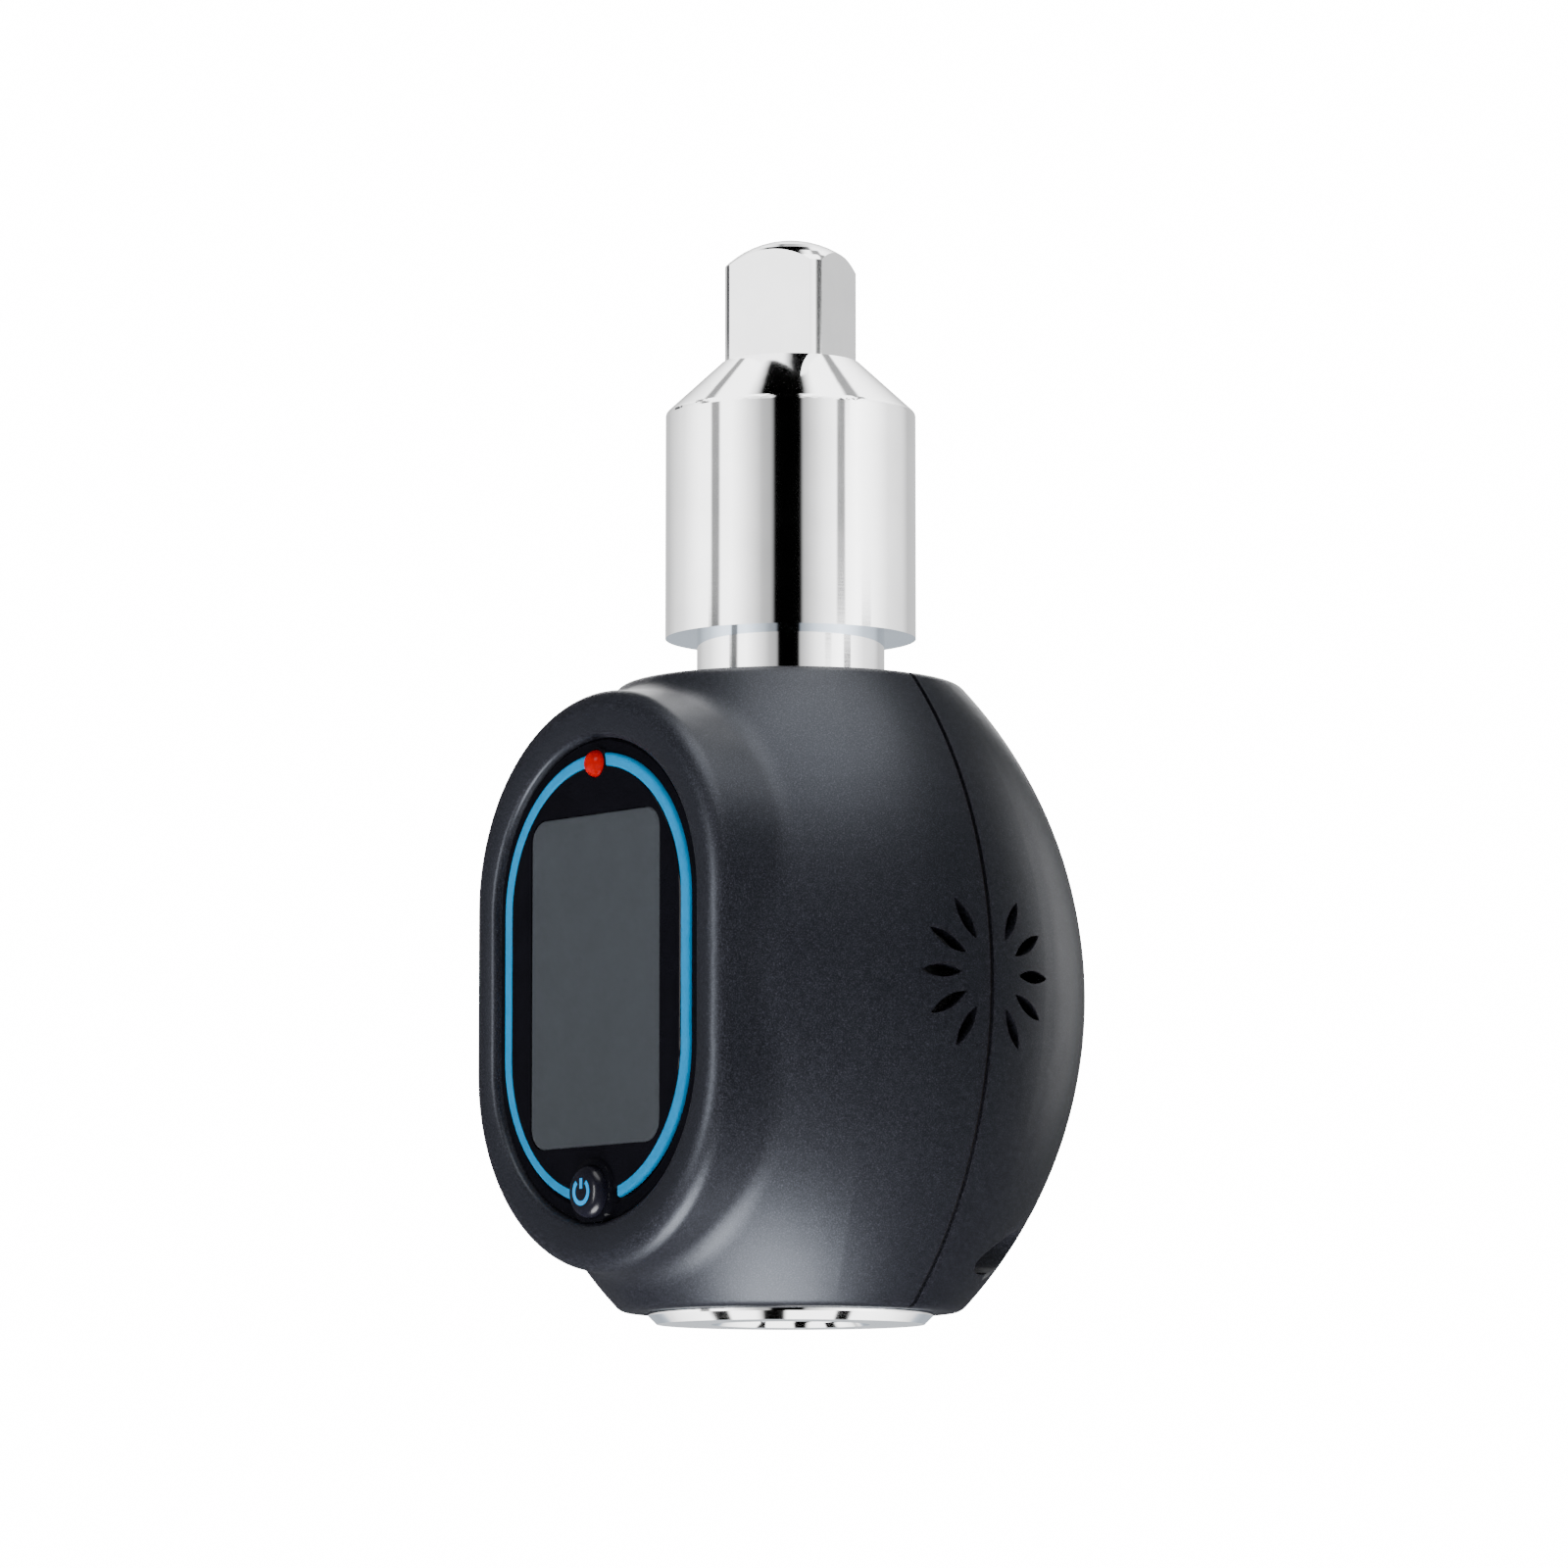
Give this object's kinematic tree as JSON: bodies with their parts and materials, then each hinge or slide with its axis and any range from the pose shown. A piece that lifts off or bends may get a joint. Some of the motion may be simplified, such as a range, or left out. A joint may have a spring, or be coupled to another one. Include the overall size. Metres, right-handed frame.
{
  "type": "digital torque adapter",
  "caption": "Digital torque adapter: a steel shaft with a female square below and a male square above, through an egg-shaped housing with a display, button, lamp and sound slots.",
  "frame": {"origin": "centre of the shaft's end face at the female square", "axes": "+Z along the shaft axis towards the male square, -Y out of the display, +X out of the sound slots"},
  "size_m": [0.0704, 0.0663, 0.1308],
  "materials": {
    "shaft": "polished plated steel",
    "housing": "satin paint with a fine metallic grain",
    "bezel": "gloss",
    "accent": "satin",
    "lens": "clear gloss",
    "lcd": "satin",
    "key_plastic": "satin",
    "lamp": "clear red",
    "board": "satin",
    "chip": "matt",
    "frame_plastic": "satin",
    "black_plastic": "matt",
    "rubber": "matt",
    "contact_rubber": "matt",
    "steel": "plain",
    "gauge_foil": "satin",
    "ribbon": "satin",
    "cell": "gloss",
    "lead": "satin"
  },
  "bodies": {
    "adapter": {"torque_shaft": "shaft", "detent_spring": "steel", "shaft_key": "steel", "front_housing": "housing", "rear_cover": "housing", "cover_gasket": "rubber", "cover_screws": "steel", "neck_seal": "rubber", "socket_seal": "rubber", "window_bezel": "bezel", "accent_ring": "accent", "display_lens": "lens", "window_gasket": "rubber", "switch_body": "black_plastic", "status_led": "lamp", "led_spacer": "frame_plastic", "lcd_glass": "lcd", "lcd_frame": "frame_plastic", "lcd_connectors": "contact_rubber", "main_board": "board", "board_chips": "chip", "ribbon_connector": "frame_plastic", "lead_connector": "frame_plastic", "board_screws": "steel", "strain_gauges": "gauge_foil", "gauge_ribbon": "ribbon", "buzzer": "black_plastic", "buzzer_holder": "black_plastic", "battery_tray": "black_plastic", "batteries": "cell", "battery_plates": "steel", "battery_springs": "steel", "tray_screws": "steel", "battery_leads": "lead"},
    "button": {"mode_button": "key_plastic", "switch_plunger": "black_plastic"},
    "ball": {"detent_ball": "steel"}
  },
  "joints": [
    {"name": "button_press", "type": "slide", "parent": "adapter", "child": "button", "axis": [0, 1, 0], "range_m": [0, 0.0004], "stiffness_N_per_m": 2500, "springref_m": -0.0002},
    {"name": "ball_press", "type": "slide", "parent": "adapter", "child": "ball", "axis": [0.4787, -0.878, 0], "range_m": [0, 0.00085], "stiffness_N_per_m": 2000, "springref_m": -0.0015, "deforming": ["detent_spring"]}
  ]
}
